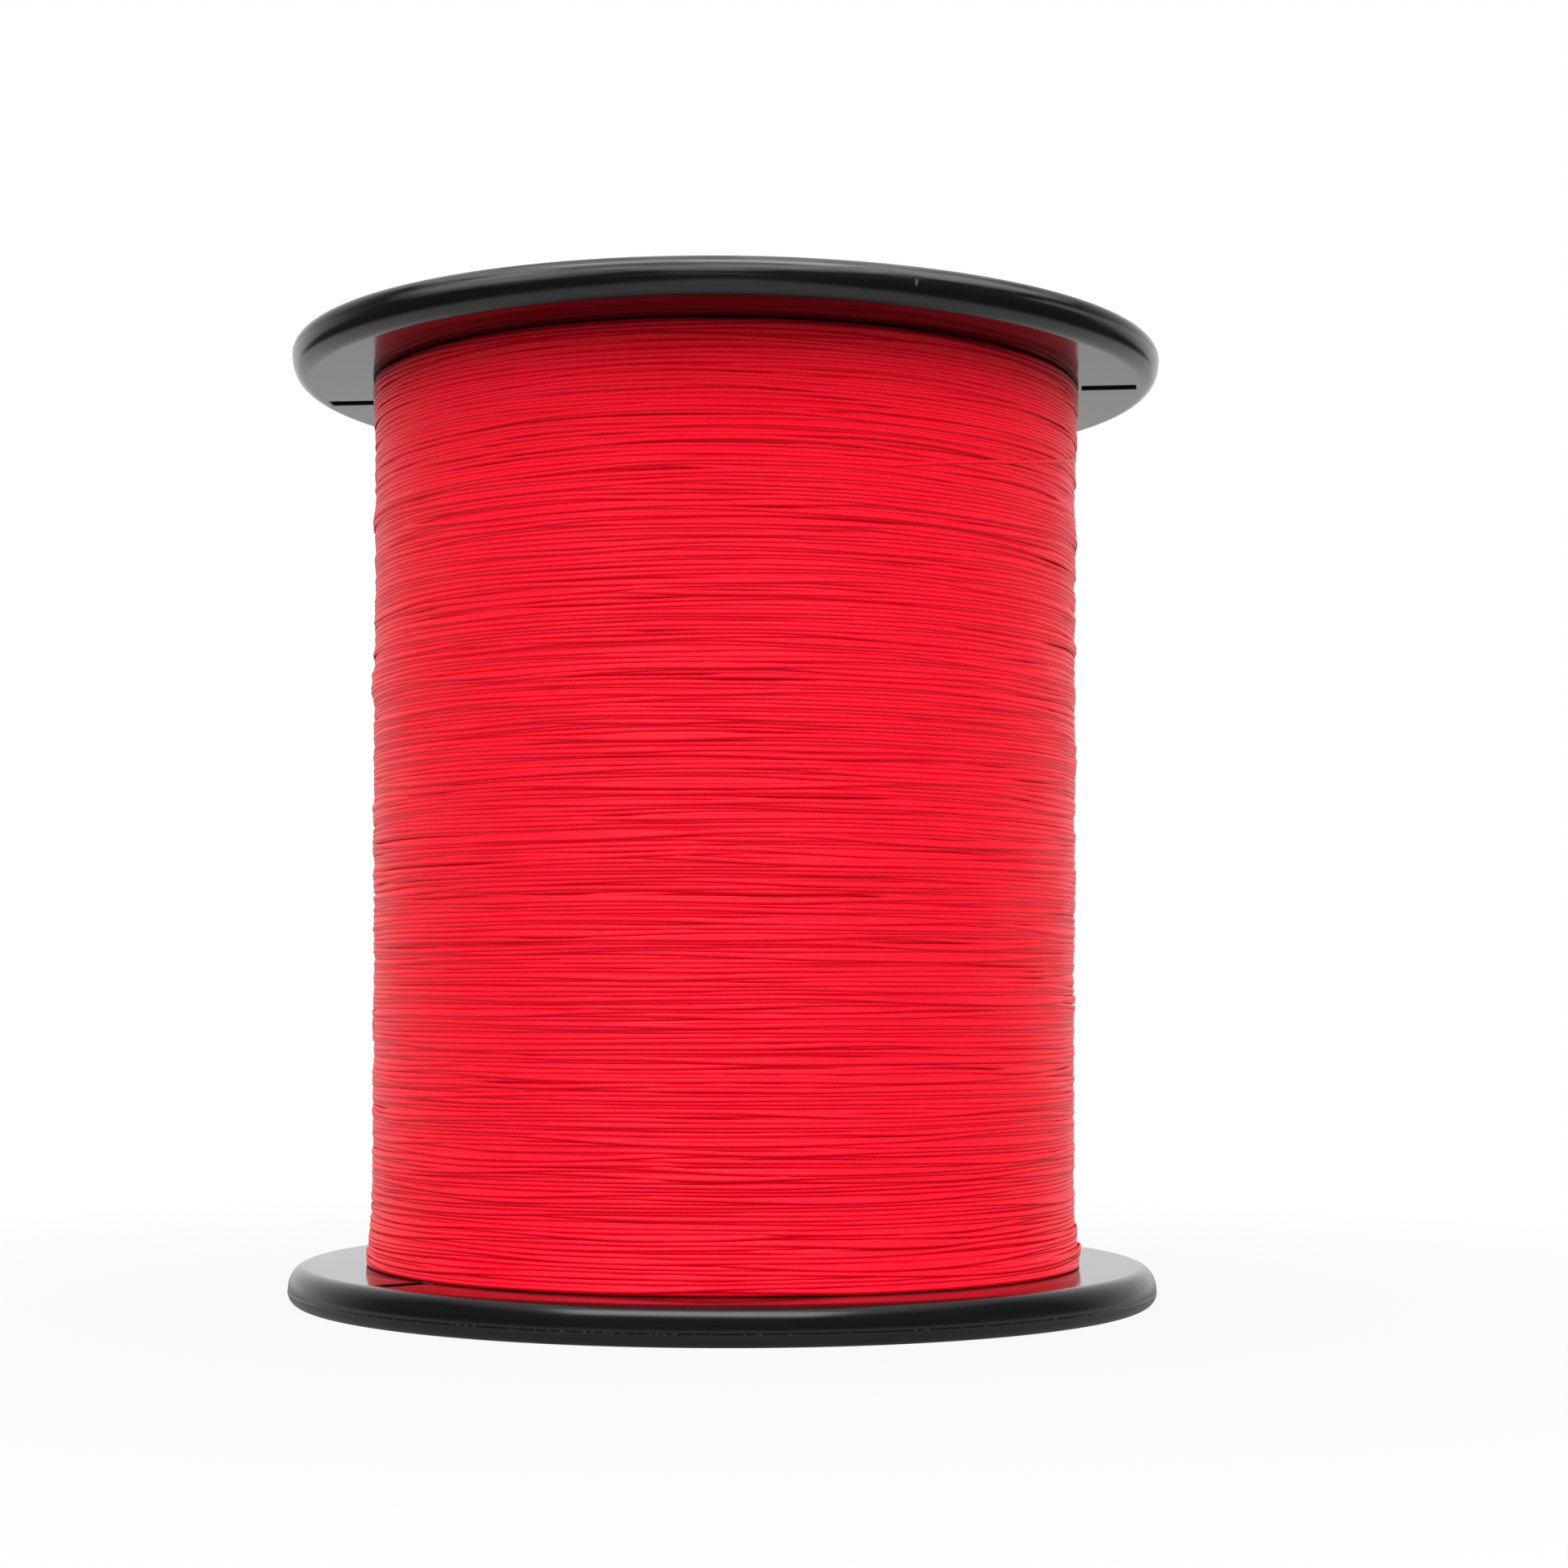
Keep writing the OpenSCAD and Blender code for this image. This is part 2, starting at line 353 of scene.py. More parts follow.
def mark_cutters(angle):
    pin_levels = [(WEB[0] - OUTSIDE, 0), (WEB[0] + PIN_DEEP, 0)]
    gate_levels = [(WELL[0] - OUTSIDE, GATE_FLARE), (WELL[0] + GATE_DEEP, 0)]
    pin = stacked(disc_outline(PIN_AT, PIN_R), pin_levels)
    gate = stacked(disc_outline(GATE_AT, GATE_R, 32), gate_levels)
    return [swung(pin, angle + 45 + 90 * k) for k in range(4)] + [swung(gate, 90)]


def ribs():
    """The ribs of the well, thinner at their free edge to leave the mould, and the gate's nub."""
    rib = stacked(box_outline(RIB_FROM, RIB_TO, RIB_WIDE), RIB_LEVELS)
    nub = swung(stacked(disc_outline(GATE_AT, NUB_R, 16), NUB_LEVELS), 90)
    return [swung(rib, (k + 0.5) * 360 / RIB_COUNT) for k in range(RIB_COUNT)] + [nub]


print(f"slots {SLOT_WIDE} mm wide, drive holes {2 * HOLE_R} mm across")

# %% [markdown]
# A boolean joins the ribs and cuts the openings. `solid_sum` runs the modifier on the mesh and
# keeps its result, so no modifier is left. At last every edge that turns by more than 30 degrees
# is marked sharp, and the rest is shaded smooth.

# %% Mould the flanges
FLANGE_SEGMENTS = 256
SHARP_ANGLE = math.radians(30)
LOWER_SLOT_ANGLE = 40
UPPER_SLOT_ANGLE = -8


def solid_sum(mesh, shapes, operation):
    """The mesh with the shapes joined ("UNION") or cut out ("DIFFERENCE")."""
    body = add_piece("body", mesh)
    tool = add_piece("tool", mesh_of("tool", *gathered(shapes)))
    modifier = body.modifiers.new("sum", "BOOLEAN")
    modifier.operation = operation
    modifier.solver = "EXACT"
    modifier.object = tool
    shown = body.evaluated_get(bpy.context.evaluated_depsgraph_get())
    result = bpy.data.meshes.new_from_object(shown)
    for used in (body, tool):
        old = used.data
        bpy.data.objects.remove(used)
        bpy.data.meshes.remove(old)
    return result


def mould_flange(name, slot_angle, upside_down):
    """One flange as a smooth mesh in metres."""
    mesh = mesh_of(name, *turned(flange_outline, FLANGE_SEGMENTS))
    mesh = solid_sum(mesh, ribs(), "UNION")
    cutters = slot_cutters(slot_angle) + hole_cutters() + mark_cutters(slot_angle)
    mesh = solid_sum(mesh, cutters, "DIFFERENCE")
    mesh.transform(Matrix.Scale(MM, 4))
    if upside_down:
        mesh.transform(Matrix.Translation((0, 0, SPOOL_H)) @ Matrix.Diagonal((1, 1, -1, 1)))
        mesh.flip_normals()
    mesh.shade_smooth()
    mesh.set_sharp_from_angle(angle=SHARP_ANGLE)
    return add_piece(name, mesh)


lower_moulding = mould_flange("lower_flange_moulding", LOWER_SLOT_ANGLE, False)
upper_moulding = mould_flange("upper_flange_moulding", UPPER_SLOT_ANGLE, True)
for piece, node in ((lower_moulding, "lower_flange"), (upper_moulding, "upper_flange")):
    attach(piece, "root")
    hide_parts(node)
    print(f"{piece.name}: {len(piece.data.polygons)} faces")

# %% [markdown]
# ## The line
#
# Braided line is laid on a drum by a guide that travels up and down. Each turn drops into a groove
# of the layer under it, is held there by its own pull, and now and then climbs out and crosses a
# neighbour. Painting that as a bump looks flat at the edges, so the turns are laid one by one here,
# as real tubes, by a small simulation:
#
# - the guide's height goes up and down with a little wander, and lingers for about a turn at each
#   flange, so that the outermost turns lie right against it,
# - each turn slides sideways to the lowest place near it,
# - it rests on the turns below, one strand's height apart,
# - its pull keeps it from dipping faster than a straight chord would.
#
# The very last turn leaves its neighbours at the front, climbs across them, and its end is tucked
# under the top turns at the back, which is how a shop keeps an opened spool from unwinding.

# %% The line's own measures
STEPS_PER_TURN = 96
STRAND_WIDE = 0.5 * MM
STRAND_HIGH = 0.22 * MM
FLATTENED_WIDE = 0.66 * MM
GUIDE_PITCH = 0.5 * MM
LINGER = 0.35 * MM
LAYERS_LAID = 4
LAYERS_SHOWN = 2
END_HEIGHT = 103.0 * MM
# The last turn's way: degrees from the +X side, counted on from one turn to the next, and height.
LAST_CLIMB = np.array(
    [(285, 103.2), (295, 103.5), (308, 104.8), (323, 106.5), (341, 109.1), (356, 111.3)]
    + [(385, 115.1), (410, 118.0), (425, 119.0)]
)

SEED = 7
random = np.random.default_rng(SEED)


def bell_curve(spread, width):
    """A bell curve out to `width` spreads, scaled so that blurred noise keeps its unit size."""
    reach = np.arange(-int(width * spread), int(width * spread) + 1)
    bell = np.exp(-0.5 * (reach / spread) ** 2)
    return bell / np.sqrt((bell**2).sum())


def smooth_noise(count, spread):
    """Noise of unit size that changes over about `spread` samples."""
    bell = bell_curve(spread, 4)
    return np.convolve(random.standard_normal(count + len(bell) - 1), bell, "valid")


# %% [markdown]
# The wound line isn't a true cylinder. It piles up towards both flanges, it falls off at its very
# edges, and the guide's many passes leave soft ridges that run almost level round it.

# %% The shape of the wound surface
LOWER_PILE = 0.9 * MM
UPPER_PILE = 0.3 * MM
PILE_H = 12 * MM
LOWER_SHOULDER = 0.3 * MM
UPPER_SHOULDER = 0.2 * MM
CELL = 0.05 * MM
RIDGE_WIDTH = 0.42 * MM
RIDGE_LENGTH = 16
RIDGE_HIGH = 0.1 * MM

grid = np.arange(PACK_Z0 - MM, PACK_Z1 + MM, CELL)


def pile(z):
    """How far the wound line stands above its radius."""
    low = np.clip(1 - (z - PACK_Z0) / PILE_H, 0, None) ** 2
    high = np.clip(1 - (PACK_Z1 - z) / PILE_H, 0, None) ** 2
    low_edge = np.clip((PACK_Z0 + LOWER_SHOULDER - z) / LOWER_SHOULDER, 0, 1)
    high_edge = np.clip((z - PACK_Z1 + UPPER_SHOULDER) / UPPER_SHOULDER, 0, 1)
    dropped = LOWER_SHOULDER * (1 - np.sqrt(1 - low_edge**2))
    dropped = dropped + UPPER_SHOULDER * (1 - np.sqrt(1 - high_edge**2))
    return LOWER_PILE * low + UPPER_PILE * high - dropped


def smoothed(field, spread, axis, closed):
    """A field blurred along one axis by a bell curve, and round it where it is closed."""
    bell = bell_curve(spread, 3)
    wide = [(0, 0), (0, 0)]
    wide[axis] = (len(bell) // 2, len(bell) // 2)
    padded = np.pad(field, wide, mode="wrap" if closed else "reflect")
    return np.apply_along_axis(lambda row: np.convolve(row, bell, "valid"), axis, padded)


def ridges():
    """Height of the ridges at every step round and every cell up, as long streaks."""
    field = random.standard_normal((STEPS_PER_TURN, len(grid)))
    field = smoothed(field, RIDGE_WIDTH / CELL, 1, False)
    return RIDGE_HIGH * smoothed(field, RIDGE_LENGTH, 0, True)


ridge_field = ridges()
print(f"ridges from {ridge_field.min() / MM:.2f} to {ridge_field.max() / MM:.2f} mm")

# %% [markdown]
# Now the turns are laid. `support` holds, for every step round the drum, how high the wound surface
# stands at each small cell along the axis. A turn reads it to find its place, and then raises it.

# %% Lay the turns
WANDER = 0.2 * MM
WANDER_STEPS = 5.0
SLIDE = 0.3 * MM
SLIDE_STIFFNESS = 300
SOFTEN_REACH = 8
SOFTEN_SPREAD = 2.0
PULL_ROUNDS = 12
PRESS = 0.7
# The guide's pace varies by these shares, over these numbers of turns.
PACE_NOISE = ((0.05, 2.5), (0.06, 0.6))


def guide_heights(low, high):
    """The guide's height at every step of the line, and the step at which the line ends."""
    stroke = high - low + 2 * LINGER
    turns = round(LAYERS_LAID * stroke / GUIDE_PITCH)
    count = turns * STEPS_PER_TURN
    pace = np.ones(count)
    for share, spread in PACE_NOISE:
        pace = pace + share * smooth_noise(count, spread * STEPS_PER_TURN)
    travel = np.cumsum(pace) * LAYERS_LAID * stroke / pace.sum()
    there = (travel + END_HEIGHT - low + LINGER) % (2 * stroke)
    height = low - LINGER + np.where(there < stroke, there, 2 * stroke - there)
    height = height + WANDER * smooth_noise(count, WANDER_STEPS)
    steps = (LAST_CLIMB[:, 0] / 360 * STEPS_PER_TURN).round().astype(int)
    first = count - STEPS_PER_TURN + steps[0]
    climb = np.interp(np.arange(steps[0], 2 * STEPS_PER_TURN), steps, LAST_CLIMB[:, 1] * MM)
    height = np.concatenate([height[:first], climb])
    end = count - STEPS_PER_TURN + steps[-1]
    return np.clip(height, low, high).reshape(turns + 1, STEPS_PER_TURN), end


def pulled_straight(lift, previous):
    """Raises a turn's dips to the chord between their sides."""
    chord = WOUND_R * (2 * math.pi / STEPS_PER_TURN) ** 2
    for _ in range(PULL_ROUNDS):
        before, after = np.roll(lift, 1), np.roll(lift, -1)
        before[0] = lift[0] if previous is None else previous
        after[-1] = lift[-1]
        lift = np.maximum(lift, (before + after - chord) / 2)
    return lift


def lay_turns():
    """Height and height above the drum of the line at every step, one long run of each."""
    low, high = FACE_LOW + FLATTENED_WIDE / 2, FACE_HIGH - FLATTENED_WIDE / 2
    guide, end = guide_heights(low, high)
    support = pile(grid) + ridge_field
    rows = np.arange(STEPS_PER_TURN)
    shifts = np.arange(-round(SLIDE / CELL), round(SLIDE / CELL) + 1)
    cost = SLIDE_STIFFNESS * (shifts * CELL) ** 2
    near = np.arange(-math.ceil(STRAND_WIDE / CELL), math.ceil(STRAND_WIDE / CELL) + 1)
    soften = np.exp(-0.5 * (np.arange(-SOFTEN_REACH, SOFTEN_REACH + 1) / SOFTEN_SPREAD) ** 2)
    soften /= soften.sum()
    carried, previous = np.zeros(SOFTEN_REACH), None
    heights, lifts = np.empty_like(guide), np.empty_like(guide)
    for turn, wanted in enumerate(guide):
        column = np.rint((wanted - grid[0]) / CELL).astype(int)
        reach = np.clip(column[:, None] + shifts, 0, len(grid) - 1)
        slid = shifts[np.argmin(support[rows[:, None], reach] + cost, axis=1)] * CELL
        padded = np.concatenate([carried, slid, slid[:SOFTEN_REACH]])
        slid = np.convolve(padded, soften, "valid")
        carried = slid[-SOFTEN_REACH:]
        z = np.clip(wanted + slid, low, high)
        place = (z - grid[0]) / CELL
        lift = np.maximum(support[rows, place.astype(int)], support[rows, place.astype(int) + 1])
        lift = pulled_straight(lift, previous)
        previous = lift[-1]
        heights[turn], lifts[turn] = z, lift
        cells = np.clip(np.rint(place).astype(int)[:, None] + near, 0, len(grid) - 1)
        aside = 1 - ((grid[cells] - z[:, None]) / STRAND_WIDE) ** 2
        top = lift[:, None] + PRESS * STRAND_HIGH * np.sqrt(np.clip(aside, 0, None))
        top = np.where(aside > 0, top, -1)
        support[rows[:, None], cells] = np.maximum(support[rows[:, None], cells], top)
    return heights.ravel()[: end + 1], lifts.ravel()[: end + 1]


line_heights, line_lifts = lay_turns()
print(f"{len(line_heights) / STEPS_PER_TURN:.0f} turns laid")
print(f"lifted {line_lifts.max() / MM:.2f} mm at most")

# %% [markdown]
# Only the last layers show. Their turns become one long tube, cut into a few pieces so that none
# gets too heavy. Each ring of the tube has six sides and is wider than it is high, because the pull
# flattens a braid. The map on it runs in line widths along the line and once round it.

# %% Turn the paths into tubes
SIDES = 6
TURNS_PER_PIECE = 120
RELIEF = 0.5
TYPICAL_LIFT = 60
TUCK_STEPS = 14
TUCK_DEPTH = 1.1 * MM
TUCK_CURVE = 1.5


def tube_mesh(name, radii, angles, heights, start_length=0.0):
    """A closed tube through points given by radius, angle and height."""
    rings = len(radii)
    round_it = np.arange(SIDES) * 2 * math.pi / SIDES
    reach = radii[:, None] + STRAND_HIGH / 2 * np.cos(round_it)
    up = FLATTENED_WIDE / 2 * np.sin(round_it)
    x, y = reach * np.cos(angles)[:, None], reach * np.sin(angles)[:, None]
    places = np.stack([x, y, heights[:, None] + up], axis=-1).reshape(-1, 3)
    # The caps have corners of their own, so that they don't bend the shading where pieces meet.
    places = np.concatenate([places, places[:SIDES], places[-SIDES:]])
    ring, side = np.meshgrid(np.arange(rings - 1), np.arange(SIDES), indexing="ij")
    corner = ring * SIDES + side
    across = ring * SIDES + (side + 1) % SIDES
    faces = np.stack([corner, corner + SIDES, across + SIDES, across], axis=-1).reshape(-1, 4)
    caps = [np.arange(SIDES) + rings * SIDES, np.arange(SIDES)[::-1] + (rings + 1) * SIDES]
    loops = np.concatenate([faces.ravel(), *caps])
    starts = np.concatenate([np.arange(len(faces)) * 4, len(faces) * 4 + np.array([0, SIDES])])
    mesh = bpy.data.meshes.new(name)
    mesh.vertices.add(len(places))
    mesh.vertices.foreach_set("co", places.ravel().astype(np.float32))
    mesh.loops.add(len(loops))
    mesh.loops.foreach_set("vertex_index", loops.astype(np.int32))
    mesh.polygons.add(len(faces) + 2)
    mesh.polygons.foreach_set("loop_start", starts.astype(np.int32))
    mesh.polygons.foreach_set("use_smooth", np.ones(len(faces) + 2, bool))
    step = np.hypot(np.diff(angles) * radii[1:], np.diff(heights))
    along = start_length + np.concatenate([[0], np.cumsum(step)])
    lengthwise = np.stack([along[ring], along[ring + 1], along[ring + 1], along[ring]], axis=-1)
    sideways = np.stack([side, side, side + 1, side + 1], axis=-1) / SIDES
    uv = np.stack([lengthwise / STRAND_WIDE, sideways], axis=-1).reshape(-1, 2)
    uv = np.concatenate([uv, np.zeros((2 * SIDES, 2))])
    mesh.uv_layers.new(name="braid").uv.foreach_set("vector", uv.ravel().astype(np.float32))
    mesh.update(calc_edges=True)
    mesh.validate()
    return mesh, along[-1]


def show_turns(heights, lifts):
    """The shown turns as pieces of one line, its end tucked in."""
    shown = len(heights) * LAYERS_SHOWN // LAYERS_LAID
    first_step = len(heights) - shown
    heights, lifts = heights[-shown:], lifts[-shown:].copy()
    lifts -= pile(heights)
    top = np.percentile(lifts, TYPICAL_LIFT)
    lifts[-TUCK_STEPS:] -= np.linspace(0, 1, TUCK_STEPS) ** TUCK_CURVE * TUCK_DEPTH
    radii = WOUND_R - STRAND_HIGH / 2 + pile(heights) + RELIEF * (lifts - top)
    angles = (first_step + np.arange(shown)) * 2 * math.pi / STEPS_PER_TURN
    pieces, length = [], 0.0
    for number, first in enumerate(range(0, shown, TURNS_PER_PIECE * STEPS_PER_TURN)):
        part = slice(first, first + TURNS_PER_PIECE * STEPS_PER_TURN + 1)
        name = f"wound_line_{number + 1}"
        mesh, length = tube_mesh(name, radii[part], angles[part], heights[part], length)
        pieces.append(add_piece(name, mesh))
    print(f"{shown / STEPS_PER_TURN:.0f} turns shown, {length:.1f} m, {len(pieces)} pieces")
    return pieces


line_pieces = show_turns(line_heights, line_lifts)

# %% [markdown]
# Under the shown turns lies the rest of the line. A drum with the same ridges closes the gaps
# between them, a little more than one strand deep. Its red is striped with a darker red, as painted
# shade between the strands.

# %% The wound body under the shown turns
BODY_DEPTH = 0.3 * MM
BODY_INNER_R = start_high.x + 0.2 * MM
BODY_MARGIN = 24
BODY_STRIDE = 8
BODY_SHARP_ANGLE = math.radians(50)


def wound_body():
    """A drum that follows the wound line's shape, open in the middle for the tube."""
    cells = np.arange(BODY_MARGIN, len(grid) - BODY_MARGIN, BODY_STRIDE)
    z = grid[cells]
    reach = WOUND_R - BODY_DEPTH + pile(z) + RELIEF * ridge_field[:, cells]
    points = []
    for step in range(STEPS_PER_TURN):
        angle = step * 2 * math.pi / STEPS_PER_TURN
        c, s = math.cos(angle), math.sin(angle)
        outline = [*zip(reach[step], z), (BODY_INNER_R, z[-1]), (BODY_INNER_R, z[0])]
        points += [(r * c, r * s, h) for r, h in outline]
    mesh = mesh_of("wound_body", points, swept_faces(STEPS_PER_TURN, len(outline)))
    mesh.shade_smooth()
    mesh.set_sharp_from_angle(angle=BODY_SHARP_ANGLE)
    return add_piece("wound_body", mesh)


body_piece = wound_body()
print(f"drum of {len(body_piece.data.polygons)} faces")

# %% [markdown]
# The line's inner end lies out of sight on the tube: it winds round twice, and then the rest of the
# line holds it down. It is the same strand, so the same tube function draws it.

# %% The line's inner end
INNER_TURNS = 2
TUBE_GAP = 0.1 * MM
LEAVING_STEPS = 10
LEAVING_LIFT = 0.5 * MM


def inner_end():
    steps = INNER_TURNS * STEPS_PER_TURN + 1
    angles = np.arange(steps) * 2 * math.pi / STEPS_PER_TURN
    low, high = start_low.z + STRAND_WIDE / 2, start_high.z - STRAND_WIDE / 2
    radii = np.full(steps, BARREL_R + TUBE_GAP + STRAND_HIGH / 2)
    radii[-LEAVING_STEPS:] += np.linspace(0, LEAVING_LIFT, LEAVING_STEPS)
    mesh, length = tube_mesh("inner_line_end", radii, angles, np.linspace(low, high, steps))
    print(f"{length / MM:.0f} mm of line on the tube")
    return add_piece("inner_line_end", mesh)


inner_piece = inner_end()

# %% [markdown]
# ## Materials in short
#
# A material in Blender is a small graph. This class makes one node or one link at a time, so that
# the recipes further down read like a list of what each finish is made of. A value that is the same
# all over goes straight onto the shader's own socket.

# %% A helper for materials


class Recipe:
    """A material being built: its nodes, its links and its main shader."""

    def __init__(self, name):
        self.material = bpy.data.materials.new(name)
        self.material.use_nodes = True
        self.tree = self.material.node_tree
        self.shader = self.tree.nodes["Principled BSDF"]

    def node(self, kind, **values):
        """One node. Names of properties set them, other names set sockets."""
        made = self.tree.nodes.new(kind)
        for name, value in values.items():
            if hasattr(made, name):
                setattr(made, name, value)
            else:
                made.inputs[name.replace("_", " ")].default_value = value
        return made

    def link(self, source, target):
        self.tree.links.new(source, target)

    def place(self):
        """The place on the object, in metres."""
        return self.node("ShaderNodeTexCoord").outputs["Object"]

    def split(self, vector):
        """The three values of a vector."""
        made = self.node("ShaderNodeSeparateXYZ")
        self.link(vector, made.inputs[0])
        return made.outputs

    def stretched(self, place, scale):
        """A place scaled by its own factor along each axis."""
        made = self.node("ShaderNodeMapping", Scale=scale)
        self.link(place, made.inputs[0])
        return made.outputs[0]

    def vector(self, operation, a, b=None):
        """A function of a vector socket and, if it is given, a plain vector."""
        made = self.node("ShaderNodeVectorMath", operation=operation)
        self.link(a, made.inputs[0])
        if b is not None:
            made.inputs[1].default_value = b
        return made.outputs["Value" if operation == "LENGTH" else "Vector"]

    def spread(self, source, start, end, first=0.0, last=1.0):
        """The range from start to end spread over the range from first to last."""
        ends = {"From_Min": start, "From_Max": end, "To_Min": first, "To_Max": last}
        made = self.node("ShaderNodeMapRange", **ends)
        self.link(source, made.inputs["Value"])
        return made.outputs[0]

    def math(self, operation, a, b=None):
        """A sum, product or other function of two values or sockets."""
        made = self.tree.nodes.new("ShaderNodeMath")
        made.operation = operation
        for slot, value in ((0, a), (1, b)):
            if isinstance(value, bpy.types.NodeSocket):
                self.link(value, made.inputs[slot])
            elif value is not None:
                made.inputs[slot].default_value = value
        return made.outputs[0]

    def ramp(self, source, *stops):
        """A colour ramp with stops given as (position, grey or colour)."""
        made = self.tree.nodes.new("ShaderNodeValToRGB")
        elements = made.color_ramp.elements
        while len(elements) < len(stops):
            elements.new(0.5)
        for element, (position, colour) in zip(elements, stops):
            element.position = position
            if isinstance(colour, (int, float)):
                colour = (colour, colour, colour)
            element.color = (*colour, 1)
        self.link(source, made.inputs[0])
        return made.outputs[0]

    def noise(self, place, **values):
        """A noise texture's value at a place."""
        made = self.node("ShaderNodeTexNoise", **values)
        self.link(place, made.inputs["Vector"])
        return made.outputs[0]

    def bump(self, height, strength, distance, below=None):
        """A bump of a real height, over another one if it is given."""
        made = self.node("ShaderNodeBump", Strength=strength, Distance=distance)
        self.link(height, made.inputs["Height"])
        if below is not None:
            self.link(below, made.inputs["Normal"])
        return made.outputs[0]

    def mixed(self, share, a, b, blend="MIX"):
        """Two colours mixed by a share, each a colour or a socket."""
        made = self.node("ShaderNodeMix", data_type="RGBA", blend_type=blend)
        for slot, value in ((0, share), (6, a), (7, b)):
            if isinstance(value, bpy.types.NodeSocket):
                self.link(value, made.inputs[slot])
            else:
                made.inputs[slot].default_value = value
        return made.outputs[2]

    def set(self, **values):
        """Values on the main shader's own sockets."""
        for name, value in values.items():
            self.shader.inputs[name.replace("_", " ")].default_value = value


# %% [markdown]
# ## The line's finish
#
# Braided polyester is dyed right through and slightly waxy. Between the turns light bounces from
# red to red, so the gaps turn a deeper and purer red by themselves; the drum seen in them still
# gets a darker red as painted shade. What is added is the crossing of the braid's own strands, with
# a deeper red in its valleys as painted shade, a weak waxy gloss, and small shifts of colour along
# the line.

# %% Braided line
LINE_RED = (0.9, 0.0005, 0.02)
LINE_RED_VALLEY_SHADE = (0.82, 0.0003, 0.016)
GAP_SHADE_RED = (0.6, 0.001, 0.008)
BRAID_PICKS = 0.7
BRAID_STRANDS = 4


def braided_line():
    """Bright red braid: a diamond bump of two sets of strands, slightly waxy."""
    r = Recipe("braided_line")
    r.set(Roughness=0.4, Specular_IOR_Level=0.2)
    at = r.node("ShaderNodeUVMap", uv_map="braid").outputs[0]
    along, around, _ = r.split(at)
    picks = r.math("MULTIPLY", along, 2 * math.pi * BRAID_PICKS)
    turn = r.math("MULTIPLY", around, 2 * math.pi * BRAID_STRANDS)
    right = r.math("SINE", r.math("ADD", picks, turn))
    left = r.math("SINE", r.math("SUBTRACT", picks, turn))
    strands = r.math("MAXIMUM", right, left)
    r.link(r.bump(strands, 0.12, 0.03 * MM), r.shader.inputs["Normal"])
    # Painted shade: the braid's valleys, where its strands cross, get a deeper red.
    weave_with_painted_shade = r.ramp(strands, (0.0, LINE_RED_VALLEY_SHADE), (0.5, LINE_RED))
    shade = r.noise(at, Scale=0.03, Detail=2.0)
    tint = r.ramp(shade, (0.3, (0.94, 0.9, 0.9)), (0.7, (1.0, 1.0, 1.0)))
    r.link(r.mixed(1.0, weave_with_painted_shade, tint, "MULTIPLY"), r.shader.inputs["Base Color"])
    return r.material


def painted_shade_body():
    """The same line deep between the turns, striped with a darker red as painted shade."""
    r = Recipe("braided_line_painted_shade")
    r.set(Roughness=0.7, Specular_IOR_Level=0.2)
    stripes_with_painted_shade = r.node("ShaderNodeTexWave", bands_direction="Z", Scale=500, Distortion=2)
    r.link(r.place(), stripes_with_painted_shade.inputs["Vector"])
    # Painted shade: the stripes run from a darker red in their troughs to the line's own red.
    colour = r.ramp(stripes_with_painted_shade.outputs[1], (0.0, GAP_SHADE_RED), (1.0, LINE_RED))
    r.link(colour, r.shader.inputs["Base Color"])
    r.link(r.bump(stripes_with_painted_shade.outputs[1], 0.5, 0.1 * MM), r.shader.inputs["Normal"])
    return r.material


line_material = braided_line()
for piece in line_pieces:
    piece.data.materials.append(line_material)
    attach(piece, "root")
    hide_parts("outer_line_turns")
for piece, node, material in (
    (body_piece, "line_pack", painted_shade_body()),
    (inner_piece, "line_start", line_material),
):
    piece.data.materials.append(material)
    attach(piece, "root")
    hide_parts(node)
print("line dressed")

# %% [markdown]
# ## The flanges' finish
#
# The flanges are moulded in glossy black plastic. Such a surface is almost a mirror at a low angle
# and almost black face on. Handling leaves faint level scuffs, the step of the parting line wears
# light in spots, and the mould leaves a slow waviness that bends reflections. The upper half of the
# upper rim gets a grey haze in streaks, a painted sheen that stands in for the light from above,
# and the rim has one small nick.

# %% The marks on the plastic, and a painted sheen
NICK = (21.9 * MM, -52.7 * MM, SPOOL_H - 2.1 * MM)
NICK_SIZE = 0.25 * MM
NICK_SHAPE = (1, 1, 0.4)
NICK_STRENGTH = 0.5
SEAM_AT = 1.74 * MM
SEAM_WIDE = 0.3 * MM
SEAM_STRENGTH = 0.3
SHEEN_LOW = SPOOL_H - 2.7 * MM
SHEEN_HIGH = SPOOL_H - 1.7 * MM
SHEEN_FROM = 55.3 * MM
SHEEN_SCALE = (32, 32, 1000)
RIM_TO = 56.2 * MM


def from_axis(r, x, y):
    """The distance from the spool's axis."""
    flat = r.node("ShaderNodeCombineXYZ")
    r.link(x, flat.inputs[0])
    r.link(y, flat.inputs[1])
    return r.vector("LENGTH", flat.outputs[0])


def worn_seam(r, place, height):
    """The parting line of both flanges, worn light in spots."""
    up = r.math("MINIMUM", height, r.math("SUBTRACT", SPOOL_H, height))
    off = r.math("ABSOLUTE", r.math("SUBTRACT", up, SEAM_AT))
    seam = r.ramp(r.math("DIVIDE", off, SEAM_WIDE), (0.0, 1.0), (0.6, 0.0))
    worn = r.ramp(r.noise(place, Scale=1300, Detail=2.0), (0.55, 0.0), (0.75, 1.0))
    return r.math("MULTIPLY", r.math("MULTIPLY", seam, worn), SEAM_STRENGTH)


def nicked(r, place):
    """The nick, taller than it is wide."""
    slim = r.vector("MULTIPLY", r.vector("SUBTRACT", place, NICK), NICK_SHAPE)
    apart = r.math("DIVIDE", r.vector("LENGTH", slim), NICK_SIZE)
    return r.math("MULTIPLY", r.ramp(apart, (0.5, 1.0), (1.0, 0.0)), NICK_STRENGTH)


